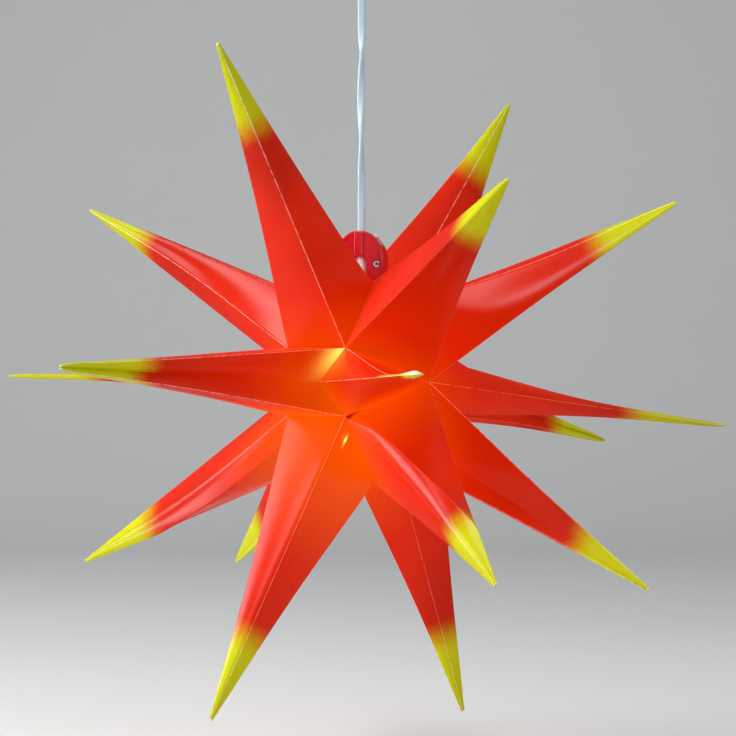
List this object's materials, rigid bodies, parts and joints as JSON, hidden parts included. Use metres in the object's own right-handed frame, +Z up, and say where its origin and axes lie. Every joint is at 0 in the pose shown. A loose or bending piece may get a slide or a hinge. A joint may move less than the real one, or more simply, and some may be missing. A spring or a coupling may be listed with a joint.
{
  "type": "hanging outdoor star light",
  "caption": "Folded film star with hollow pointed spikes, lit from inside by a screw-in lamp; an oval two-part clamp cap holds it on a flat twin lead that hangs from an eye.",
  "frame": {"origin": "middle of the hanging eye's bore, above the star", "axes": "+Z up along the lead, the star's front faces -Y, +X to the right seen from the front; the eye's bore runs along Y"},
  "size_m": [0.596, 0.5945, 0.6543],
  "materials": {
    "film": "satin printed film",
    "cap_red": "gloss",
    "holder_white": "satin",
    "contact_brass": "plain",
    "screw_steel": "plain",
    "wire_brown": "matt",
    "lead_white": "satin",
    "insulator_black": "gloss",
    "lamp_metal": "plain",
    "housing_white": "satin",
    "board_white": "matt",
    "chip_yellow": "matt",
    "globe_opal": "opal diffuser",
    "hanger_white": "satin"
  },
  "bodies": {
    "hanger": {"hanger_body": "hanger_white", "hanger_clamp": "hanger_white", "hanger_screws": "screw_steel", "lead": "lead_white"},
    "star": {"upper_spike_front": "film", "upper_spike_right": "film", "upper_spike_back_right": "film", "upper_spike_back": "film", "upper_spike_left": "film", "upper_spike_front_left": "film", "middle_spike_front": "film", "middle_spike_right": "film", "middle_spike_back_right": "film", "middle_spike_back": "film", "middle_spike_left": "film", "middle_spike_front_left": "film", "lower_spike_front": "film", "lower_spike_right": "film", "lower_spike_back_right": "film", "lower_spike_back": "film", "lower_spike_left": "film", "lower_spike_front_left": "film", "cap_front": "cap_red", "cap_rear": "cap_red", "cap_pins": "cap_red", "cap_straps": "cap_red", "lampholder_body": "holder_white", "lampholder_insert": "holder_white", "retaining_ring": "holder_white", "lampholder_sleeve": "contact_brass", "lampholder_terminals": "contact_brass", "centre_contact": "contact_brass", "terminal_screws": "screw_steel", "lead_wires": "wire_brown", "lead_inner": "lead_white"},
    "lamp": {"lamp_contact": "contact_brass", "lamp_insulator": "insulator_black", "lamp_cap": "lamp_metal", "lamp_housing": "housing_white", "led_board": "board_white", "led_chips": "chip_yellow", "lamp_globe": "globe_opal"}
  },
  "joints": [
    {"name": "star_turn", "type": "hinge", "parent": "hanger", "child": "star", "pos_m": [0, 0, -0.2385], "axis": [0, 0, 1], "range_deg": [-180, 180]},
    {"name": "lamp_turn", "type": "hinge", "parent": "star", "child": "lamp", "pos_m": [0, 0, -0.32], "axis": [0, 0, 1], "range_deg": [0, 1080]}
  ]
}
